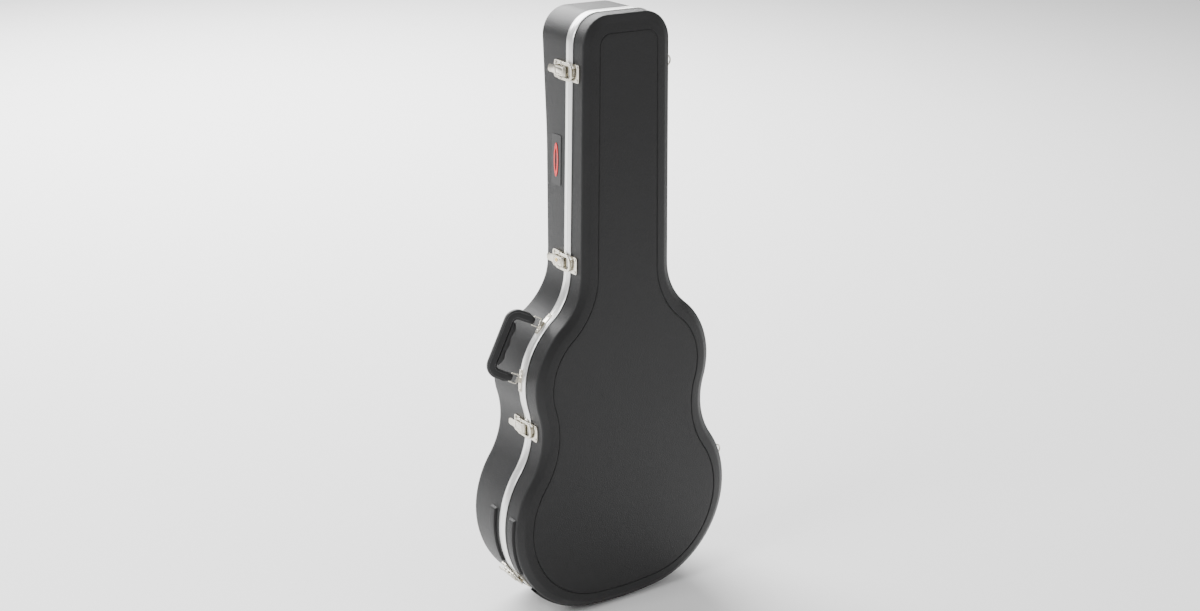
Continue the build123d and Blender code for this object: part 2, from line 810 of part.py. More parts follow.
handle_middle = (swing_points[0] + swing_points[1]) / 2
handle_plane = Plane(origin=handle_middle, x_dir=chord, z_dir=chord.cross(handle_out))
outer = handle_width / 2
inner = outer - handle_arm
arm_end = link_half - link_r
arm_middle = (swing_points[1] - swing_points[0]).length / 2
taper_end = handle_root + 14.0
strap_radii = [3, 3, 8, handle_corner_r, handle_corner_r, 8, 3, 3, 6, 6, 6, 6]
with BuildPart() as strap:
    with BuildSketch(handle_plane):
        with BuildLine():
            FilletPolyline(
                (arm_middle - arm_end, handle_root),
                (arm_middle + arm_end, handle_root),
                (outer, taper_end),
                (outer, handle_reach),
                (-outer, handle_reach),
                (-outer, taper_end),
                (-arm_middle - arm_end, handle_root),
                (-arm_middle + arm_end, handle_root),
                (-inner, taper_end),
                (-inner, handle_reach - handle_bar),
                (inner, handle_reach - handle_bar),
                (inner, taper_end),
                close=True,
                radius=strap_radii,
            )
        make_face()
    extrude(amount=handle_thick / 2, both=True)
    for wire in links:
        add(wire, mode=Mode.SUBTRACT)
finish(strap.part, "handle_strap")

grip_face = handle_reach - handle_bar
with BuildPart() as grip:
    with BuildSketch(handle_plane):
        with BuildLine():
            half = grip_length / 2
            Line((-half, grip_face), (half, grip_face))
            Line((half, grip_face), (half, grip_face - 2))
            Spline(
                (half, grip_face - 2),
                (half * 0.55, grip_face - grip_swell),
                (0, grip_face - grip_swell + 2),
                (-half * 0.55, grip_face - grip_swell),
                (-half, grip_face - 2),
            )
            Line((-half, grip_face - 2), (-half, grip_face))
        make_face()
    extrude(amount=grip_thick / 2, both=True)
finish(grip.part, "handle_grip")

# ---- strap rings on the hinge side ----------------------------------------------------------
on_valance_thin = ring(valance_skin, valance_skin + clip_thick, trim_near, trim_far)
for name, level in zip(("head", "tail"), ring_heights):
    wall = wall_plane(level, 1)
    with BuildPart() as clip:
        stem = [
            (trim_middle - 2, valance_skin + 0.3),
            (trim_middle + 2, valance_skin + 0.3),
            (trim_middle + 2, ring_h),
            (trim_middle - 2, ring_h),
        ]
        add(bar(wall, stem, -clip_barrel_half, clip_barrel_half))
        add(rod(wall, trim_middle, ring_h, -clip_barrel_half, clip_barrel_half, bracket_barrel_r))
        add(curved_plate(wall, on_valance_thin, trim_near, trim_far, clip_half, 3))
        bore = ring_wire_r + run_clear
        add(rod(wall, trim_middle, ring_h, -clip_half, clip_half, bore), mode=Mode.SUBTRACT)
    finish(clip.part, f"strap_ring_clip_{name}")
    for height in pair_along(wall, clip_half - 3.2):
        base_rivets.append(rivet(height, 1, trim_middle, valance_skin + clip_thick))

    pivot = wall.from_local_coords(Vector(trim_middle, 0, ring_h))
    ring_plane = Plane(origin=pivot, x_dir=wall.y_dir, z_dir=-wall.x_dir)
    sign = 1 if (ring_plane.y_dir - wall.z_dir).length < 1 else -1
    with BuildPart() as strap_ring:
        with BuildLine(ring_plane) as wire:
            FilletPolyline(
                (0, 0),
                (ring_half, 0),
                (ring_half, sign * ring_reach),
                (0, sign * ring_reach),
                radius=[2 * ring_wire_r, ring_half - 0.2],
            )
        with BuildSketch(Plane(origin=wire.line @ 0, z_dir=wire.line % 0)):
            Circle(ring_wire_r)
        sweep()
        mirror(about=Plane(origin=pivot, z_dir=wall.y_dir))
    finish(strap_ring.part, f"strap_ring_{name}")

# ---- hinges: one straight line that touches both bouts --------------------------------------
bout_dx = upper_centre[0] - lower_centre[0]
bout_dz = upper_centre[1] - lower_centre[1]
bout_angle = atan2(bout_dz, bout_dx)
hinge_angle = bout_angle - acos((lower_r - upper_r) / hypot(bout_dx, bout_dz))
hinge_out = Vector(cos(hinge_angle), 0, sin(hinge_angle))
hinge_up = Vector(-sin(hinge_angle), 0, cos(hinge_angle))
upper_touch = Vector(upper_centre[0], 0, upper_centre[1]) + hinge_out * (upper_r + hinge_stand)
lower_touch = Vector(lower_centre[0], 0, lower_centre[1]) + hinge_out * (lower_r + hinge_stand)
neck_point = Vector(head_half, 0, case_top) + Vector(neck_out[0], 0, neck_out[1]) * head_hinge_stand
neck_normal = Vector(neck_out[0], 0, neck_out[1])
head_rise = (neck_point - upper_touch).dot(neck_normal) / hinge_up.dot(neck_normal)
hinge_middles = {
    "tail": lower_touch - hinge_up * hinge_slack,
    "bout": upper_touch,
    "head": upper_touch + hinge_up * head_rise,
}
knuckle_step = hinge_length / knuckle_count


def hinge_half(frame, side, turns):
    """Leaf on one valance with every other knuckle of the barrel."""
    x_low, x_high = sorted((side * trim_near, side * trim_far))
    half = hinge_length / 2
    with BuildPart() as made:
        for index in range(turns, knuckle_count, 2):
            low = -half + index * knuckle_step + knuckle_gap / 2
            high = low + knuckle_step - knuckle_gap
            web = [
                (side * trim_near, -25),
                (side * knuckle_r, -25),
                (side * knuckle_r, 0),
                (side * trim_near, 0),
            ]
            add(bar(frame, web if side > 0 else web[::-1], low, high))
            add(rod(frame, 0, 0, low, high, knuckle_r))
        add(slab(valance_skin, -knuckle_r - 1, knuckle_r + 1), mode=Mode.SUBTRACT)
        leaf = ring(valance_skin, valance_skin + hinge_leaf, x_low, x_high)
        add(curved_plate(frame, leaf, x_low, x_high, half, 1.5))
        bore = hinge_pin_r if side > 0 else hinge_pin_r + run_clear
        add(rod(frame, 0, 0, -half, half, bore), mode=Mode.SUBTRACT)
    return made.part


for name, middle in hinge_middles.items():
    barrel = Plane(origin=middle, x_dir=(0, 1, 0), z_dir=hinge_out)
    finish(hinge_half(barrel, 1, 0), f"hinge_{name}_base_leaf")
    finish(hinge_half(barrel, -1, 1), f"hinge_{name}_lid_leaf")
    pin = rod(barrel, 0, 0, -hinge_length / 2, hinge_length / 2, hinge_pin_r)
    finish(pin, f"hinge_{name}_pin")
    leaf_face = valance_skin + hinge_leaf
    for height in pair_along(barrel, hinge_length / 2 - 5.5):
        base_rivets.append(rivet(height, 1, trim_far - 3.2, leaf_face))
        lid_rivets.append(rivet(height, 1, -trim_far + 3.2, leaf_face))

finish(Compound(children=base_rivets), "base_rivets")
finish(Compound(children=lid_rivets), "lid_rivets")

# ---- badge on the side of the neck ----------------------------------------------------------
with BuildPart() as badge:
    with BuildSketch(badge_plane.offset(-badge_pocket)):
        with Locations((badge_x, 0)):
            RectangleRounded(badge_width, badge_length, 3)
    extrude(amount=badge_thick)
finish(badge.part, "badge_plate")

with BuildPart() as emblem:
    with BuildSketch(badge_plane.offset(badge_thick - badge_pocket)):
        with Locations((badge_x, 0)):
            Ellipse(emblem_width / 2, emblem_length / 2)
            Ellipse(emblem_width / 4, emblem_length / 3, mode=Mode.SUBTRACT)
    extrude(amount=emblem_thick)
finish(emblem.part, "badge_emblem")
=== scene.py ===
# %% [markdown]
# This lesson dresses a moulded guitar case that stands on its tail end.
# The engineering model is the frame: it gives every piece its size, its place and the body it
# moves with. Each chapter says what a piece is on a real case, how it could be modelled, and why
# the way that follows was chosen.

import json
from math import atan2, cos, hypot, pi, radians, sin, sqrt, tan

import bmesh
import bpy
from mathutils import Matrix, Vector


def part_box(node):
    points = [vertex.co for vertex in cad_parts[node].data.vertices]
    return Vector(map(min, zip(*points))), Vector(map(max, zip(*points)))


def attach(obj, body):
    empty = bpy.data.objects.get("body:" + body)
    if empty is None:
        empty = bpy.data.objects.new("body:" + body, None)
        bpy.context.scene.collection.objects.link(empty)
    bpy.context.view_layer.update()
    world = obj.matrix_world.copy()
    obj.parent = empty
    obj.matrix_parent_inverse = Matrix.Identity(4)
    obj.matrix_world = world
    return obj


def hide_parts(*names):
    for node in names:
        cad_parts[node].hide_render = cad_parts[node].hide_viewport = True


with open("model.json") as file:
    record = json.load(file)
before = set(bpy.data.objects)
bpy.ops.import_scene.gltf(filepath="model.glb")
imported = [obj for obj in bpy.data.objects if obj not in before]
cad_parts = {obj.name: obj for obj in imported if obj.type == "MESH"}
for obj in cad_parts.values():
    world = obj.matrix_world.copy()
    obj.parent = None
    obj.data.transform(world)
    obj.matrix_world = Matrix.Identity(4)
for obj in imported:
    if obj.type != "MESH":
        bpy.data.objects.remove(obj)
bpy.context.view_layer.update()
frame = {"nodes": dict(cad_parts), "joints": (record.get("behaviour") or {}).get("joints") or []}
nodes = frame["nodes"]
bpy.ops.object.select_all(action="DESELECT")

# %% [markdown]
# The outline of a case is a chain of straight runs and arcs that touch without a corner. Every
# long piece, the shells, the metal rim and the padding, follows that same chain, so it is written
# once. Everything is in metres, and h is the distance straight out of the wall.

# %% The outline: runs and arcs of the right half
case_low = 0.0035
case_top = case_low + 1.1
head_half = 0.088
neck_half = 0.094
head_corner_r = 0.051
neck_tilt = atan2(neck_half - head_half, 0.54)
neck_out = (cos(neck_tilt), sin(neck_tilt))
neck_down = (sin(neck_tilt), -cos(neck_tilt))
tail_r, lower_r, waist_r, upper_r, blend_r = 0.634, 0.1815, 0.138, 0.146, 0.113
tail_centre = (0.0, case_low + tail_r)
lower_x = 0.2325 - lower_r
lower_centre = (lower_x, tail_centre[1] - sqrt((tail_r - lower_r) ** 2 - lower_x**2))
upper_centre = (0.1875 - upper_r, case_low + 0.45)


def meet_outside(first, first_r, second, second_r, r):
    """Centre of a hollow arc of radius r that touches two bulging arcs on the right."""
    dx, dz = second[0] - first[0], second[1] - first[1]
    span = hypot(dx, dz)
    along = ((first_r + r) ** 2 - (second_r + r) ** 2 + span**2) / (2 * span)
    across = sqrt((first_r + r) ** 2 - along**2)
    return (first[0] + (dx * along + dz * across) / span, first[1] + (dz * along - dx * across) / span)


waist_centre = meet_outside(lower_centre, lower_r, upper_centre, upper_r, waist_r)
side_x, side_z = head_half + neck_out[0] * blend_r, case_top + neck_out[1] * blend_r
off_x, off_z = side_x - upper_centre[0], side_z - upper_centre[1]
half_b = off_x * neck_down[0] + off_z * neck_down[1]
run = -half_b - sqrt(half_b**2 - (off_x**2 + off_z**2 - (upper_r + blend_r) ** 2))
blend_centre = (side_x + neck_down[0] * run, side_z + neck_down[1] * run)
corner_x = head_half - head_corner_r * (1 - sin(neck_tilt)) / cos(neck_tilt)
corner_centre = (corner_x, case_top - head_corner_r)
print("waist arc centre", waist_centre, "neck arc centre", blend_centre)


# %% [markdown]
# A profile drawn at the top of the case is led round the outline: extruded along the straight
# runs and spun round the centre of each arc, which is how a bent trim is made by hand. The other
# half is a mirrored copy. A curve with a bevel object would also do, but spinning keeps the arcs
# exact and the points evenly spaced.

# %% Helpers: select, draw a profile and round its corners
def activate(obj):
    """Make one object the only selected one."""
    if bpy.context.object and bpy.context.object.mode != "OBJECT":
        bpy.ops.object.mode_set(mode="OBJECT")
    bpy.ops.object.select_all(action="DESELECT")
    obj.select_set(True)
    bpy.context.view_layer.objects.active = obj


def pick(test, kind="verts"):
    """Select the points, edges or faces of the mesh in edit mode that pass a test."""
    mesh = bpy.context.object.data
    bpy.context.tool_settings.mesh_select_mode = (kind == "verts", kind == "edges", kind == "faces")
    bm = bmesh.from_edit_mesh(mesh)
    for element in (*bm.faces, *bm.edges, *bm.verts):
        element.select = False
    count = 0
    for element in getattr(bm, kind):
        if test(element):
            element.select_set(True)
            count += 1
    bm.select_flush_mode()
    bmesh.update_edit_mesh(mesh)
    return count


def soften(points, radii, steps=5):
    """Replace corners of a chain of points by arcs; a radius of 0 leaves a corner as it is."""
    made = [points[0]]
    for before, corner, after, r in zip(points, points[1:], points[2:], radii):
        if not r:
            made.append(corner)
            continue
        a, b, c = Vector(before), Vector(corner), Vector(after)
        to_a, to_c = (a - b).normalized(), (c - b).normalized()
        reach = r / tan(to_a.angle(to_c) / 2)
        start, end = b + to_a * reach, b + to_c * reach
        for i in range(steps + 1):
            t = i / steps
            made.append(tuple(start * (1 - t) ** 2 + b * 2 * t * (1 - t) + end * t * t))
    made.append(points[-1])
    return made


def draw_chain(name, points, closed):
    """Start from one point at the top of the case and extrude it into a chain of (y, h) points."""
    bpy.ops.object.select_all(action="DESELECT")
    y, h = points[0]
    bpy.ops.mesh.primitive_plane_add(size=0.01, location=(0, y, case_top + h))
    made = bpy.context.object
    made.name = name
    bpy.ops.object.mode_set(mode="EDIT")
    bpy.context.tool_settings.mesh_select_mode = (True, False, False)
    bpy.ops.mesh.select_all(action="SELECT")
    bpy.ops.mesh.merge(type="CENTER")
    for (y0, h0), (y1, h1) in zip(points, points[1:]):
        step = (0, y1 - y0, h1 - h0)
        bpy.ops.mesh.extrude_region_move(TRANSFORM_OT_translate={"value": step})
    if closed:
        pick(lambda v: len(v.link_edges) == 1)
        bpy.ops.mesh.edge_face_add()
    return made


# %% Helper: lead a profile round the outline
def angle_of(centre, point):
    """Direction of a point as seen from a centre, in the plane of the outline."""
    return atan2(point[1] - centre[1], point[0] - centre[0])


def turn_between(centre, first, last):
    """Angle from one point to another about a centre, clockwise as seen from the front."""
    return (angle_of(centre, first) - angle_of(centre, last) + pi) % (2 * pi) - pi


def towards(first, last, distance):
    """The point at a distance from the first point on the line to the last."""
    span = hypot(last[0] - first[0], last[1] - first[1])
    return tuple(a + (b - a) * distance / span for a, b in zip(first, last))


corner_side = tuple(c + n * head_corner_r for c, n in zip(corner_centre, neck_out))
blend_top = tuple(c - n * blend_r for c, n in zip(blend_centre, neck_out))
upper_top = towards(upper_centre, blend_centre, upper_r)
waist_top = towards(upper_centre, waist_centre, upper_r)
waist_low = towards(lower_centre, waist_centre, lower_r)
tail_join = towards(tail_centre, lower_centre, tail_r)
arcs = (
    (corner_centre, (corner_x, case_top), corner_side, 14),
    (blend_centre, blend_top, upper_top, 16),
    (upper_centre, upper_top, waist_top, 26),
    (waist_centre, waist_top, waist_low, 16),
    (lower_centre, waist_low, tail_join, 36),
    (tail_centre, tail_join, (0.0, case_low), 8),
)
neck_steps = 36


def spin_round(arc):
    """Spin what is selected along one arc of the outline."""
    centre, first, last, steps = arc
    angle = turn_between(centre, first, last)
    bpy.ops.mesh.spin(steps=steps, angle=-angle, center=(centre[0], 0, centre[1]), axis=(0, 1, 0))


def lead_round(name, points, closed=False, fill=False):
    """Sweep a profile of (y, h) points round the whole outline; fill closes it across."""
    made = draw_chain(name, points, closed)
    bpy.ops.mesh.select_all(action="SELECT")
    bpy.ops.mesh.extrude_region_move(TRANSFORM_OT_translate={"value": (corner_x, 0, 0)})
    spin_round(arcs[0])
    run_x, run_z = blend_top[0] - corner_side[0], blend_top[1] - corner_side[1]
    for _ in range(neck_steps):
        step = (run_x / neck_steps, 0, run_z / neck_steps)
        bpy.ops.mesh.extrude_region_move(TRANSFORM_OT_translate={"value": step})
    for arc in arcs[1:]:
        spin_round(arc)
    if fill:
        inner_y = points[-1][0] - points[0][0]
        pick(
            lambda e: len(e.link_faces) == 1
            and all(abs(v.co.y - inner_y) < 1e-6 for v in e.verts)
            and max(v.co.x for v in e.verts) > 1e-5,
            "edges",
        )
        bpy.ops.mesh.extrude_region_move()
        bpy.ops.transform.resize(value=(0, 1, 1), center_override=(0, 0, 0))
    bpy.ops.mesh.select_all(action="SELECT")
    bpy.ops.mesh.remove_doubles(threshold=1e-6)
    bpy.ops.object.mode_set(mode="OBJECT")
    bpy.ops.object.transform_apply(location=True, rotation=True, scale=True)
    mirror = made.modifiers.new("other half", "MIRROR")
    mirror.merge_threshold = 2e-5
    bpy.ops.object.modifier_apply(modifier=mirror.name)
    bpy.ops.object.mode_set(mode="EDIT")
    bpy.ops.mesh.select_all(action="SELECT")
    bpy.ops.mesh.remove_doubles(threshold=1e-6)
    bpy.ops.mesh.normals_make_consistent(inside=False)
    bpy.ops.object.mode_set(mode="OBJECT")
    return made


def smooth(obj, angle=35):
    """Shade smooth, except over edges sharper than an angle in degrees."""
    activate(obj)
    bpy.ops.object.shade_smooth_by_angle(angle=radians(angle))


def report(obj):
    """Print the number of faces and the bounds of a piece."""
    low = [round(min(v.co[i] for v in obj.data.vertices), 4) for i in range(3)]
    high = [round(max(v.co[i] for v in obj.data.vertices), 4) for i in range(3)]
    print(obj.name, len(obj.data.polygons), "faces", low, high)


# %% [markdown]
# The shells aren't equally deep from end to end. The sweep gives them one depth, and then every
# point behind the metal rim is moved in proportion to the depth that the case has at its height.
# A lattice would do the same by hand, but a short rule is exact.

# %% Helper: lean a swept shell to the depth of the case
def graded(knots, ease):
    """A depth that runs straight between (height, depth) knots, with eased corners."""

    def depth(z):
        value = knots[0][1]
        for (z0, d0), (z1, d1) in zip(knots, knots[1:]):
            value += (d1 - d0) * min(max((z - z0) / (z1 - z0), 0), 1)
        for (z0, d0), (z1, d1), (z2, d2) in zip(knots, knots[1:], knots[2:]):
            away = ease - abs(z - z1)
            if away > 0:
                bend = (d2 - d1) / (z2 - z1) - (d1 - d0) / (z1 - z0)
                value += bend * away * away / (4 * ease)
        return value

    return depth


def lean(obj, rim, drawn, depth):
    """Scale what lies beyond the rim so that a depth drawn as one value follows the case."""
    for v in obj.data.vertices:
        y = abs(v.co.y)
        if y > rim:
            y = rim + (y - rim) * (depth(v.co.z) - rim) / (drawn - rim)
            v.co.y = y if v.co.y > 0 else -y


def thicken(obj, thickness, offset=-1):
    """Give a skin a wall on its inner side."""
    activate(obj)
    wall = obj.modifiers.new("wall", "SOLIDIFY")
    wall.thickness = thickness
    wall.offset = offset
    wall.use_even_offset = False
    bpy.ops.object.modifier_apply(modifier=wall.name)


lid_depth = graded([(case_low, 0.060), (case_top, 0.046)], 0.01)
base_depth = graded(
    [(case_low, 0.099), (case_low + 0.44, 0.108), (case_low + 0.65, 0.069), (case_low + 0.88, 0.076),
     (case_top, 0.097)],
    0.033,
)
print("depth of lid and base at the tail", lid_depth(case_low), base_depth(case_low))

# %% [markdown]
# The two shells are pulled from sheets of black ABS over a mould. The lid has a soft crease, a
# shallow dome to a fine groove, and a flat panel inside it. The base is a tray with a small
# radius at its back. Both are swept from one profile each, leant to depth, and given a wall.

# %% The lid shell
lid_line = soften(
    [(-0.004, 0), (-0.0490, 0), (-0.0575, -0.0130), (-0.0600, -0.0270), (-0.0600, -0.0286),
     (-0.0584, -0.0294), (-0.0584, -0.0306), (-0.0600, -0.0314), (-0.0600, -0.0400)],
    [0.0060, 0.010, 0, 0.0006, 0.0005, 0.0005, 0.0006],
    steps=4,
)
lid_skin = lead_round("lid_skin", lid_line, fill=True)
lean(lid_skin, 0.010, 0.060, lid_depth)
thicken(lid_skin, 0.003)
report(lid_skin)

# %% The base shell
base_line = soften([(0.004, 0), (0.100, 0), (0.100, -0.020)], [0.0095], steps=6)
base_skin = lead_round("base_skin", base_line, fill=True)
lean(base_skin, 0.010, 0.100, base_depth)
thicken(base_skin, 0.003)
report(base_skin)

# %% [markdown]
# Bumper rails are raised in the same mould: one each side of the lower bout and one round the
# tail on each shell. Each is swept round the whole outline as a low rounded bar and then cut at
# its ends with two slanted planes. Cutting keeps every rail exactly on the outline.

# %% The bumper rails
def cut_rail(name, side, keep, planes):
    """One rail: a swept bar cut down to what lies inside all planes."""
    edge, far = side * 0.0222, side * 0.0418
    line = [(edge, -0.002), (edge + side * 0.0022, 0.0044), (far - side * 0.0022, 0.0044), (far, -0.002)]
    rail = lead_round(name, soften(line, [0.0016, 0.0016], steps=4), closed=True)
    activate(rail)
    bpy.ops.object.mode_set(mode="EDIT")
    for place, normal in planes:
        bpy.ops.mesh.select_all(action="SELECT")
        bpy.ops.mesh.bisect(plane_co=place, plane_no=normal, use_fill=True, clear_outer=True)
    bpy.ops.mesh.select_all(action="SELECT")
    bpy.ops.mesh.normals_make_consistent(inside=False)
    bpy.ops.object.mode_set(mode="OBJECT")
    soft = rail.modifiers.new("soft edges", "BEVEL")
    soft.width = 0.0008
    soft.segments = 2
    soft.angle_limit = radians(50)
    bpy.ops.object.modifier_apply(modifier=soft.name)
    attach(rail, keep)
    return rail


rails = []
for body, side in (("base", 1), ("lid", -1)):
    for word, sign in (("left", -1), ("right", 1)):
        upper = ((sign * 0.2325, 0, 0.2200), (sign * 0.45, 0, 1))
        lower = ((sign * 0.2325, 0, 0.1170), (sign * 0.45, 0, -1))
        half = ((0, 0, 0.1), (-sign, 0, 0))
        rails.append(cut_rail(f"{body}_rail_{word}", side, body, [upper, lower, half]))
    foot = [((0, 0, 0.0650), (0, 0, 1)), ((0, 0, 0.0001), (0, 0, -1))]
    rails.append(cut_rail(f"{body}_rail_tail", side, body, foot))
for rail in rails:
    report(rail)

# %% [markdown]
# The valance is a pair of aluminium channels pressed over the rims, with a tongue on the base
# that closes into a slot in the lid. The line down its middle on a real case is the gap between
# the two channels, so each profile has a small chamfer on its meeting edge.

# %% The two halves of the valance
def channel(side, tongue):
    """Closed profile of one channel, on the side of its shell."""
    web = [(0.0006, 0.0015), (0.0094, 0.0015), (0.0100, 0.0010), (0.0100, 0.0001), (0.0040, 0.0001)]
    web += [(0.0040, -0.0030), (0.0100, -0.0030), (0.0100, -0.0041), (0.0096, -0.0045), (0.0006, -0.0045)]
    web += [(0.0001, -0.0040)] + tongue + [(0.0001, 0.0009)]
    return [(side * y, h) for y, h in web]


tongue = [(0.0001, -0.0022), (-0.0016, -0.0022), (-0.0020, -0.0018), (-0.0020, -0.0012), (-0.0016, -0.0008),
          (0.0001, -0.0008)]
slot = [(0.0001, -0.0026), (0.0024, -0.0026), (0.0024, -0.0004), (0.0001, -0.0004)]
base_trim = lead_round("base_valance_trim", channel(1, tongue), closed=True)
lid_trim = lead_round("lid_valance_trim", channel(-1, slot), closed=True)
report(base_trim)
report(lid_trim)


# %% [markdown]
# Inside, blocks of foam are wrapped in plush. The plush starts under the valance, rolls over the
# edge of the foam and drops to the floor of the well, which is deep at the body, shallow under
# the neck and deeper again at the head. Leading one soft profile round the case and leaning it
# to the floor's depth gives the whole liner in one piece, so it has no seams to hide.

# %% The padded linings
def liner(name, side, drawn, floor):
    """Plush of one half: over the foam's edge, down its wall and across the floor of the well."""
    line = [(0.0015, -0.0050), (0.0015, -0.0262), (drawn - 0.0004, -0.0280), (drawn - 0.0004, -0.0420)]
    line = soften([(side * y, h) for y, h in line], [0.0070, 0.0120], steps=6)
    made = lead_round(name, line, fill=True)
    lean(made, 0.0090, drawn, floor)
    thicken(made, 0.0040, offset=1)
    return made


base_floor = graded(
    [(case_low, 0.0824), (case_low + 0.44, 0.0914), (case_low + 0.530, 0.0747), (case_low + 0.560, 0.0224),
     (case_low + 0.895, 0.0224), (case_low + 0.9454, 0.0504), (case_top, 0.0504)],
    0.006,
)
lid_floor = graded([(case_low, 0.0484), (case_top, 0.0344)], 0.01)
base_liner = liner("base_plush", 1, 0.0824, base_floor)
lid_liner = liner("lid_plush", -1, 0.0484, lid_floor)
report(base_liner)
report(lid_liner)

# %% [markdown]
# The accessory box is a tray sunk into the foam under the neck, with a flap that lies flush. The
# liner is cut open where the flap lies, and the tray is a block that is inset and pushed in
# twice: once for the ledge that carries the flap, and once for the box itself.

# %% The accessory box, its flap and its pull
def cube(name, low, high):
    """A block between two corners, ready to be shaped."""
    bpy.ops.object.select_all(action="DESELECT")
    size = [b - a for a, b in zip(low, high)]
    middle = [(a + b) / 2 for a, b in zip(low, high)]
    bpy.ops.mesh.primitive_cube_add(size=1, location=middle, scale=size)
    made = bpy.context.object
    made.name = name
    bpy.ops.object.transform_apply(location=True, rotation=True, scale=True)
    return made


def combine(obj, tool, operation):
    """Join a tool to an object or cut it away, and remove the tool."""
    activate(obj)
    step = obj.modifiers.new("combine", "BOOLEAN")
    step.object = tool
    step.operation = operation
    step.solver = "EXACT"
    bpy.ops.object.modifier_apply(modifier=step.name)
    bpy.data.objects.remove(tool)


def rod(radius, length, middle, turn=0, sides=48):
    """A round bar that stands along z, or lies along y when turned by a quarter."""
    bpy.ops.mesh.primitive_cylinder_add(
        vertices=sides, radius=radius, depth=length, location=middle, rotation=(turn, 0, 0)
    )
    return bpy.context.object


def bevel(obj, width, segments=3, angle=40):
    """Round the edges that are sharper than an angle in degrees."""
    activate(obj)
    edge = obj.modifiers.new("rounded", "BEVEL")
    edge.width = width
    edge.segments = segments
    edge.angle_limit = radians(angle)
    bpy.ops.object.modifier_apply(modifier=edge.name)


flap_low, flap_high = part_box("accessory_box_flap")
pull_low, pull_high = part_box("accessory_box_pull")
gap = 0.001
cutter = cube(
    "cutter",
    (flap_low[0] - gap, 0, flap_low[2] - gap),
    (flap_high[0] + gap, 0.06, flap_high[2] + gap),
)
combine(base_liner, cutter, "DIFFERENCE")

tray_top = flap_low[1] + 0.0005
tray_back = 0.0583
margin = 0.003
tray = cube(
    "accessory_tray",
    (flap_low[0] - margin, tray_top, flap_low[2] - margin),
    (flap_high[0] + margin, tray_back, flap_high[2] + margin),
)
bpy.ops.object.mode_set(mode="EDIT")
pick(lambda f: f.normal.y < -0.9, "faces")
bpy.ops.mesh.inset(thickness=0.0021)
bpy.ops.mesh.extrude_region_move(TRANSFORM_OT_translate={"value": (0, flap_high[1] - tray_top + 0.0003, 0)})
bpy.ops.mesh.inset(thickness=0.0050)
bpy.ops.mesh.extrude_region_move(TRANSFORM_OT_translate={"value": (0, 0.0295, 0)})
bpy.ops.object.mode_set(mode="OBJECT")
bevel(tray, 0.0009, 2)

flap = cube("accessory_flap", flap_low, flap_high)
bpy.ops.object.mode_set(mode="EDIT")
pick(lambda e: abs((e.verts[0].co - e.verts[1].co).normalized().y) > 0.9, "edges")
bpy.ops.mesh.bevel(offset=0.004, segments=4)
bpy.ops.object.mode_set(mode="OBJECT")
bevel(flap, 0.0014, 3)
pull = cube("accessory_pull", (pull_low[0], pull_low[1] - 0.0004, pull_low[2]), pull_high)
bpy.ops.object.mode_set(mode="EDIT")
pick(lambda f: f.normal.y < -0.9, "faces")
bpy.ops.mesh.inset(thickness=0.0016)
bpy.ops.mesh.extrude_region_move(TRANSFORM_OT_translate={"value": (0, 0.0003, 0)})
bpy.ops.object.mode_set(mode="OBJECT")
bevel(pull, 0.0004, 2)
for piece in (tray, flap, pull):
    report(piece)

# %% [markdown]
# The neck rests in a foam cradle with a round notch. The notch is cut with a cylinder, and the
# edges are rolled over as the plush would roll them.

# %% The neck cradle
cradle_low, cradle_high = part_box("neck_cradle")
cradle = cube("neck_cradle_pad", cradle_low, cradle_high)
cradle_middle = (cradle_low[2] + cradle_high[2]) / 2
combine(cradle, rod(0.031, 0.08, (0, -0.0202, cradle_middle), sides=64), "DIFFERENCE")
bevel(cradle, 0.0028, 4, 50)
report(cradle)

# %% [markdown]
# The handle is a padded strap bent into a bracket, with a finger cushion under its grip. It is
# modelled lying in its own plane, u along the case and v outwards, and carried to its place by
# one matrix that comes from the handle's hinge. The strap starts as a block at one arm's end and
# is extruded and spun round its two corners, as a real one is folded round.

# %% The handle's own plane
joints = {j["name"]: j for j in frame["joints"]}
swing = joints["handle_hinge"]
along = Vector(swing["axis"]).normalized()
straight_out = Vector((along.z, 0, -along.x))
lean_back = radians(20)
handle_out = straight_out * cos(lean_back) + Vector((0, 1, 0)) * sin(lean_back)
through = handle_out.cross(along)
to_handle = Matrix.Translation(swing["pos_m"]) @ Matrix((along, through, handle_out)).transposed().to_4x4()
print("handle plane", [round(c, 3) for c in handle_out])


def place(obj, matrix):
    """Carry a finished mesh to its place, leaving its object at the origin."""
    obj.data.transform(matrix)
    obj.data.update()


# %% The strap
half_width, arm_u, bend, grip_v = 0.0090, 0.0555, 0.0150, 0.0545
end_half, end_u, widen_v, full_v = 0.0068, 0.0537, 0.0150, 0.0250
strap = cube(
    "handle_strap_leather",
    (-end_u - end_half, -0.0060, 0.0110),
    (-end_u + end_half, 0.0060, widen_v),
)
bpy.ops.object.mode_set(mode="EDIT")
pick(lambda f: f.normal.z > 0.9, "faces")
bpy.ops.mesh.extrude_region_move(TRANSFORM_OT_translate={"value": (end_u - arm_u, 0, full_v - widen_v)})
bpy.ops.transform.resize(value=(half_width / end_half, 1.0, 1), center_override=(-arm_u, 0, full_v))
bpy.ops.mesh.extrude_region_move(TRANSFORM_OT_translate={"value": (0, 0, grip_v - bend - full_v)})
bpy.ops.mesh.spin(steps=8, angle=-pi / 2, center=(-arm_u + bend, 0, grip_v - bend), axis=(0, 1, 0))
for _ in range(10):
    bpy.ops.mesh.extrude_region_move(TRANSFORM_OT_translate={"value": ((arm_u - bend) / 5, 0, 0)})
bpy.ops.mesh.spin(steps=8, angle=-pi / 2, center=(arm_u - bend, 0, grip_v - bend), axis=(0, 1, 0))
bpy.ops.mesh.extrude_region_move(TRANSFORM_OT_translate={"value": (0, 0, -(grip_v - bend - full_v))})
bpy.ops.mesh.extrude_region_move(TRANSFORM_OT_translate={"value": (end_u - arm_u, 0, widen_v - full_v)})
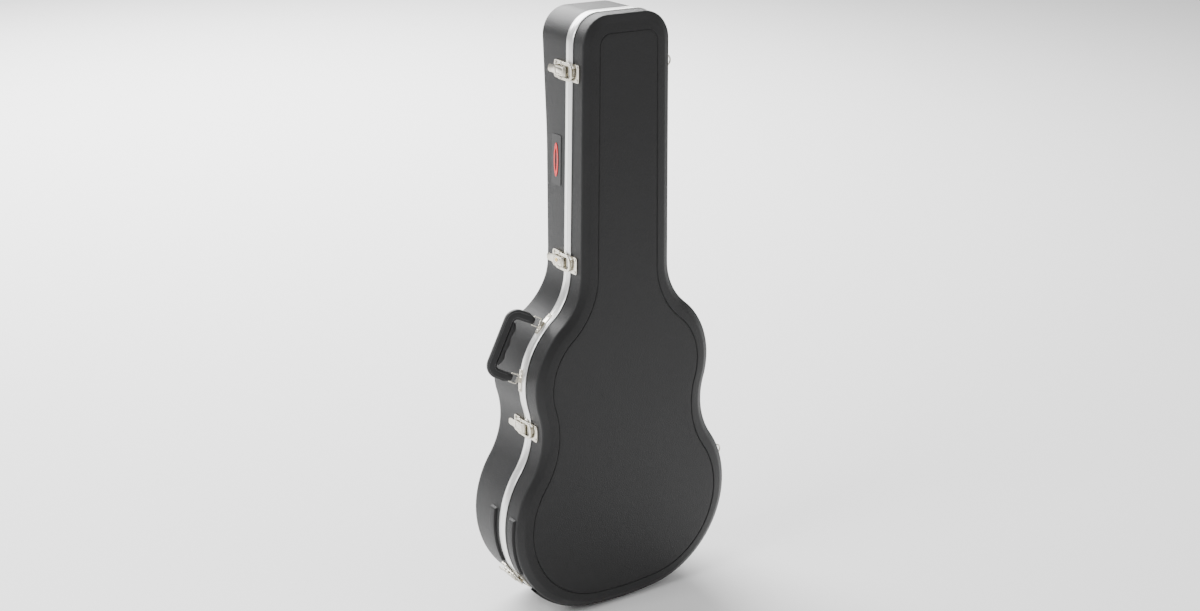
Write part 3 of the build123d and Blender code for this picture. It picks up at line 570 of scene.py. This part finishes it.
bpy.ops.transform.resize(value=(end_half / half_width, 1.0, 1), center_override=(end_u, 0, widen_v))
bpy.ops.mesh.extrude_region_move(TRANSFORM_OT_translate={"value": (0, 0, -0.0040)})
bpy.ops.mesh.select_all(action="SELECT")
bpy.ops.mesh.normals_make_consistent(inside=False)
bpy.ops.object.mode_set(mode="OBJECT")
bevel(strap, 0.0040, 4)
report(strap)

# %% The finger cushion
pad_half, pad_wide, pad_low, pad_high = 0.0400, 0.0095, 0.0395, 0.0480
cushion = cube("handle_cushion", (-pad_half, -pad_wide, pad_low), (pad_half, pad_wide, pad_high))
bpy.ops.object.mode_set(mode="EDIT")
pick(lambda f: True, "faces")
bpy.ops.mesh.subdivide(number_cuts=15)
bpy.ops.object.mode_set(mode="OBJECT")
for v in cushion.data.vertices:
    u, w, out = v.co
    round_end = sqrt(max(0.05, 1 - abs(u / 0.0408) ** 6))
    sunk = (pad_high - out) / (pad_high - pad_low)
    wave = 0.0012 * cos(u / pad_half * 3 * pi)
    crown = 0.001 * (1 - (w / pad_wide) ** 2)
    swell = 1 - 0.32 * sunk**2
    v.co.y = w * swell * (0.72 + 0.28 * round_end)
    v.co.z = pad_high - (pad_high - out) * (0.45 + 0.55 * round_end) - sunk * (wave + crown)
bevel(cushion, 0.0010, 2, 50)
report(cushion)

# %% [markdown]
# Two rows of stitches hold the strap's cover. One stitch is modelled as a tiny rounded bar and
# copied along the strap, following its bends, on both faces.

# %% The stitching
def strap_path(shift):
    """Points and directions along the strap, a shift outwards from its middle."""
    r = bend + shift
    straight = grip_v - bend
    low_v, spacing = 0.0240, 0.0036
    pieces = []
    count = 5
    for i in range(count):
        pieces.append((-arm_u - shift, low_v + (straight - low_v) * i / count, pi / 2))
    count = max(2, round(r * pi / 2 / spacing))
    for i in range(count):
        a = pi / 2 * i / count
        pieces.append((-arm_u + bend - r * cos(a), straight + r * sin(a), pi / 2 - a))
    count = 23
    for i in range(count + 1):
        pieces.append((-arm_u + bend + 2 * (arm_u - bend) * i / count, grip_v + shift, 0))
    return pieces + [(-u, v, -a) for u, v, a in reversed(pieces) if u < bend - arm_u]


stitch = cube("stitch", (-0.0013, -0.0004, -0.0003), (0.0013, 0.0004, 0.0003))
bevel(stitch, 0.00022, 1)
bpy.ops.object.select_all(action="DESELECT")
copies = []
for face in (1, -1):
    for shift in (0.0048, -0.0048):
        for u, v, angle in strap_path(shift):
            one = stitch.copy()
            one.data = stitch.data.copy()
            bpy.context.collection.objects.link(one)
            turn = Matrix.Rotation(-angle, 4, "Y") @ Matrix.Rotation(pi / 2, 4, "X")
            one.data.transform(Matrix.Translation((u, face * 0.0060, v)) @ turn)
            copies.append(one)
bpy.data.objects.remove(stitch)
for one in copies:
    one.select_set(True)
bpy.context.view_layer.objects.active = copies[0]
bpy.ops.object.join()
stitches = bpy.context.object
stitches.name = "handle_stitches"
report(stitches)
for piece in (strap, cushion, stitches):
    place(piece, to_handle)


# %% [markdown]
# The levers of the draw latches are pressings: a body with a raised frame round a sunken panel,
# and a tongue that is lifted at its end for the thumb. One is modelled flat on the wall, x to
# the back, y along the wall and z outwards, and each latch gets its own copy, placed by its
# hinge.

# %% One pressed lever
def pressed_lever(with_lock):
    """One lever in its own frame, with a hole for the lock if it carries one."""
    lever = cube("lever", (0.0060, -0.0085, 0.0080), (0.0330, 0.0085, 0.0096))
    bpy.ops.object.mode_set(mode="EDIT")
    pick(lambda f: f.normal.x > 0.9, "faces")
    bpy.ops.mesh.extrude_region_move(TRANSFORM_OT_translate={"value": (0.0025, 0, 0)})
    bpy.ops.transform.resize(value=(1, 0.80, 1), center_override=(0.0355, 0, 0.0088))
    bpy.ops.mesh.extrude_region_move(TRANSFORM_OT_translate={"value": (0.0080, 0, -0.0004)})
    for angle in range(4):
        step = (0.0019, 0, 0.0002 + 0.0002 * angle)
        bpy.ops.mesh.extrude_region_move(TRANSFORM_OT_translate={"value": step})
        if angle > 1:
            width = (0.86, 0.62)[angle - 2]
            bpy.ops.transform.resize(value=(1, width, 1), center_override=(0.0400, 0, 0.0088))
    pick(lambda f: f.normal.z > 0.9 and f.calc_center_median().x < 0.0330, "faces")
    bpy.ops.mesh.inset(thickness=0.0022)
    bpy.ops.mesh.extrude_region_move(TRANSFORM_OT_translate={"value": (0, 0, -0.0006)})
    bpy.ops.mesh.inset(thickness=0.0016)
    bpy.ops.mesh.extrude_region_move(TRANSFORM_OT_translate={"value": (0, 0, 0.0005)})
    bpy.ops.object.mode_set(mode="OBJECT")
    lever_pin, loop_pin = (0.0060, 0, 0.0064), (0.0160, 0, 0.0064)
    barrels = []
    for middle in (lever_pin, loop_pin):
        barrels.append(rod(0.0026, 0.0170, middle, pi / 2, sides=40))
        bpy.ops.object.transform_apply(location=True, rotation=True, scale=True)
    web = cube("web", (0.0060, -0.0085, 0.0048), (0.0160, 0.0085, 0.0084))
    for piece in (*barrels, web):
        combine(lever, piece, "UNION")
    combine(lever, rod(0.00125, 0.04, lever_pin, pi / 2), "DIFFERENCE")
    combine(lever, rod(0.0012, 0.04, loop_pin, pi / 2), "DIFFERENCE")
    if with_lock:
        combine(lever, rod(0.00345, 0.0060, (0.0230, 0, 0.0088)), "DIFFERENCE")
    bevel(lever, 0.0003, 2, 30)
    return lever


levers = []
patterns = {False: pressed_lever(False), True: pressed_lever(True)}
for number in range(1, 5):
    hinge = joints[f"latch_{number}_lever_hinge"]
    k = Vector(hinge["axis"]).normalized()
    out = Vector((-k.z, 0, k.x))
    start = Vector(hinge["pos_m"]) - out * 0.0064 - Vector((0, 0.0060, 0))
    pattern = patterns[number == 2]
    lever = pattern.copy()
    lever.data = pattern.data.copy()
    lever.name = f"latch_lever_{number}"
    bpy.context.collection.objects.link(lever)
    axes = Matrix((Vector((0, 1, 0)), out.cross(Vector((0, 1, 0))), out)).transposed().to_4x4()
    place(lever, Matrix.Translation(start) @ axes)
    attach(lever, f"latch_{number}_lever")
    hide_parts(f"latch_{number}_lever")
    levers.append(lever)
    report(lever)
for pattern in patterns.values():
    bpy.data.objects.remove(pattern)

# %% [markdown]
# Each finish is a node material that reads Object coordinates, in metres, so that its grain has
# the same size on every piece. A helper makes the shader and a grain of bumps; each finish then
# sets its own colour variation and roughness.

# %% Helper: a finish with a grain
def finish(name, colour, roughness, metallic=0.0, spread=0.25):
    """A Principled material whose colour and roughness wander a little over the surface."""
    mat = bpy.data.materials.new(name)
    mat.use_nodes = True
    tree = mat.node_tree
    shader = tree.nodes["Principled BSDF"]
    shader.inputs["Metallic"].default_value = metallic
    coords = tree.nodes.new("ShaderNodeTexCoord")
    drift = tree.nodes.new("ShaderNodeTexNoise")
    drift.inputs["Scale"].default_value = 14
    drift.inputs["Detail"].default_value = 5
    tree.links.new(coords.outputs["Object"], drift.inputs["Vector"])
    ramp = tree.nodes.new("ShaderNodeValToRGB")
    ramp.color_ramp.elements[0].position = 0.3
    ramp.color_ramp.elements[1].position = 0.7
    ramp.color_ramp.elements[0].color = (*[c * (1 - spread) for c in colour], 1)
    ramp.color_ramp.elements[1].color = (*[min(1, c * (1 + spread)) for c in colour], 1)
    tree.links.new(drift.outputs["Fac"], ramp.inputs["Fac"])
    tree.links.new(ramp.outputs["Color"], shader.inputs["Base Color"])
    rough = tree.nodes.new("ShaderNodeMapRange")
    rough.inputs["To Min"].default_value = roughness[0]
    rough.inputs["To Max"].default_value = roughness[1]
    tree.links.new(drift.outputs["Fac"], rough.inputs["Value"])
    tree.links.new(rough.outputs["Result"], shader.inputs["Roughness"])
    return mat


def grain(mat, kind, scale, height, strength=1.0, stretch=(1, 1, 1)):
    """Add a layer of bumps over the layers that the finish already has."""
    tree = mat.node_tree
    shader = tree.nodes["Principled BSDF"]
    coords = next(n for n in tree.nodes if n.type == "TEX_COORD")
    turn = tree.nodes.new("ShaderNodeMapping")
    turn.inputs["Scale"].default_value = stretch
    pattern = tree.nodes.new("ShaderNodeTexVoronoi" if kind == "cells" else "ShaderNodeTexNoise")
    pattern.inputs["Scale"].default_value = scale
    bump = tree.nodes.new("ShaderNodeBump")
    bump.inputs["Distance"].default_value = height
    bump.inputs["Strength"].default_value = strength
    tree.links.new(coords.outputs["Object"], turn.inputs["Vector"])
    tree.links.new(turn.outputs["Vector"], pattern.inputs["Vector"])
    if kind == "cells":
        pattern.feature = "SMOOTH_F1"
        pattern.inputs["Smoothness"].default_value = 0.6
        tree.links.new(pattern.outputs["Distance"], bump.inputs["Height"])
    else:
        pattern.inputs["Detail"].default_value = 3
        tree.links.new(pattern.outputs["Fac"], bump.inputs["Height"])
    before = shader.inputs["Normal"].links
    if before:
        tree.links.new(before[0].from_socket, bump.inputs["Normal"])
    tree.links.new(bump.outputs["Normal"], shader.inputs["Normal"])
    return bump


# %% The finishes
shell_black = finish("pebbled_abs", (0.0085, 0.0085, 0.009), (0.40, 0.52), spread=0.12)
shell_black.node_tree.nodes["Principled BSDF"].inputs["Specular IOR Level"].default_value = 0.38
grain(shell_black, "noise", 420, 0.0005, 0.8)
grain(shell_black, "cells", 760, 0.0004, 0.7)
trim_silver = finish("brushed_aluminium", (0.86, 0.86, 0.85), (0.30, 0.44), 1.0, 0.04)
grain(trim_silver, "noise", 90, 0.00008, 0.5, (1, 40, 1))
nickel = finish("bright_nickel", (0.66, 0.63, 0.55), (0.12, 0.28), 1.0, 0.12)
grain(nickel, "noise", 260, 0.00006, 0.5)
brass = finish("lock_brass", (0.80, 0.58, 0.25), (0.18, 0.32), 1.0, 0.12)
grain(brass, "noise", 500, 0.00004, 0.5)
leather = finish("handle_leather", (0.007, 0.007, 0.0075), (0.36, 0.55), spread=0.3)
grain(leather, "noise", 120, 0.0006, 0.5)
grain(leather, "cells", 620, 0.0003, 0.7)
thread = finish("grey_thread", (0.075, 0.075, 0.078), (0.6, 0.8), spread=0.3)
grain(thread, "noise", 3000, 0.0001, 0.8)
plush = finish("black_plush", (0.030, 0.030, 0.034), (0.85, 1.0), spread=0.45)
plush.node_tree.nodes["Principled BSDF"].inputs["Sheen Weight"].default_value = 0.5
plush.node_tree.nodes["Principled BSDF"].inputs["Sheen Roughness"].default_value = 0.4
grain(plush, "noise", 60, 0.0012, 0.5)
grain(plush, "noise", 1300, 0.0006, 0.9)
badge_black = finish("badge_black", (0.003, 0.003, 0.0033), (0.25, 0.38), spread=0.1)
grain(badge_black, "noise", 700, 0.00005, 0.5)
badge_red = finish("badge_red", (0.72, 0.018, 0.016), (0.22, 0.34), spread=0.12)
grain(badge_red, "noise", 900, 0.00004, 0.5)
print("finishes", len(bpy.data.materials))

# %% [markdown]
# The engineering pieces whose shape is already right keep their own mesh and only change finish.
# The new pieces take the same finishes.

# %% Give every piece its finish
def dress(obj, mat):
    """Give all of an object one material."""
    if obj.material_slots:
        for seat in obj.material_slots:
            seat.material = mat
    else:
        obj.data.materials.append(mat)


for name, node in nodes.items():
    if name == "lock_cylinder":
        dress(node, brass)
    elif name == "badge_plate":
        dress(node, badge_black)
    elif name == "badge_emblem":
        dress(node, badge_red)
    elif name in ("handle_strap", "handle_grip"):
        dress(node, leather)
    elif name.endswith(("foam", "lining")) or name.startswith(("neck_cradle", "accessory_box")):
        dress(node, plush)
    elif name.endswith("_shell"):
        dress(node, shell_black)
    elif name.endswith("_valance"):
        dress(node, trim_silver)
    else:
        dress(node, nickel)

wear = (
    (lid_skin, shell_black, "shell", "lid", ("lid_shell",)),
    (base_skin, shell_black, "shell", "base", ("base_shell",)),
    (lid_trim, trim_silver, "valance", "lid", ("lid_valance",)),
    (base_trim, trim_silver, "valance", "base", ("base_valance",)),
    (lid_liner, plush, "lining", "lid", ("lid_foam", "lid_lining")),
    (base_liner, plush, "lining", "base", ("base_foam", "base_lining")),
    (tray, plush, "lining", "base", ()),
    (cradle, plush, "lining", "base", ("neck_cradle",)),
    (flap, plush, "lining", "box_flap", ("accessory_box_flap",)),
    (pull, leather, "pull", "box_flap", ("accessory_box_pull",)),
    (strap, leather, "handle", "handle", ("handle_strap",)),
    (cushion, leather, "handle", "handle", ("handle_grip",)),
    (stitches, thread, "handle", "handle", ()),
)
for obj, mat, slot_name, body, stands_for in wear:
    dress(obj, mat)
    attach(obj, body)
    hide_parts(*stands_for)
    smooth(obj, 40)
for rail in rails:
    dress(rail, shell_black)
    smooth(rail, 40)
for lever in levers:
    dress(lever, nickel)
    smooth(lever, 30)
print("dressed", len(wear) + len(rails) + len(levers), "new pieces")

# %% [markdown]
# The stage is a pale floor. The light is soft: a bright even sky, a broad key from the upper
# left that draws the crease of the lid, and a weaker fill from the right.

# %% Floor, light and camera
bpy.ops.object.select_all(action="DESELECT")
bpy.ops.mesh.primitive_plane_add(size=24, location=(0, 0, 0))
floor = bpy.context.object
floor.name = "floor"
bpy.ops.object.transform_apply(location=True, rotation=True, scale=True)
paper = bpy.data.materials.new("pale_floor")
paper.use_nodes = True
paper.node_tree.nodes["Principled BSDF"].inputs["Base Color"].default_value = (0.93, 0.93, 0.93, 1)
paper.node_tree.nodes["Principled BSDF"].inputs["Roughness"].default_value = 0.85
floor.data.materials.append(paper)

world = bpy.data.worlds.new("studio")
bpy.context.scene.world = world
world.use_nodes = True
world.node_tree.nodes["Background"].inputs["Color"].default_value = (1, 1, 1, 1)
world.node_tree.nodes["Background"].inputs["Strength"].default_value = 0.55


def softbox(name, place_at, aim, size, power):
    """A square area light that looks at a point."""
    light = bpy.data.lights.new(name, "AREA")
    light.size = size
    light.energy = power
    lamp = bpy.data.objects.new(name, light)
    lamp.location = place_at
    lamp.rotation_euler = (Vector(aim) - Vector(place_at)).to_track_quat("-Z", "Y").to_euler()
    bpy.context.collection.objects.link(lamp)
    return lamp


softbox("key", (-2.6, -0.2, 2.2), (0, 0, 0.6), 1.2, 60)
softbox("fill", (1.6, -2.4, 2.6), (0, 0, 0.9), 1.2, 14)
softbox("backdrop", (0.6, 4.4, 3.6), (0.6, 3.0, 0), 5.0, 950)

camera_data = bpy.data.cameras.new("camera")
camera_data.sensor_width = 36
camera_data.lens = 50.33
camera = bpy.data.objects.new("camera", camera_data)
yaw, pitch, roll = 0.596, 0.3395, 0.0074
ahead = Vector((sin(yaw) * cos(pitch), cos(yaw) * cos(pitch), -sin(pitch)))
right = Vector((cos(yaw), -sin(yaw), 0))
up = right.cross(ahead)
level_right = right * cos(roll) + up * sin(roll)
level_up = up * cos(roll) - right * sin(roll)
turned = Matrix((level_right, level_up, -ahead)).transposed().to_4x4()
camera.matrix_world = Matrix.Translation((-1.6153, -2.3462, 1.5772)) @ turned
bpy.context.collection.objects.link(camera)
bpy.context.scene.camera = camera
print("camera", [round(c, 3) for c in camera.location])
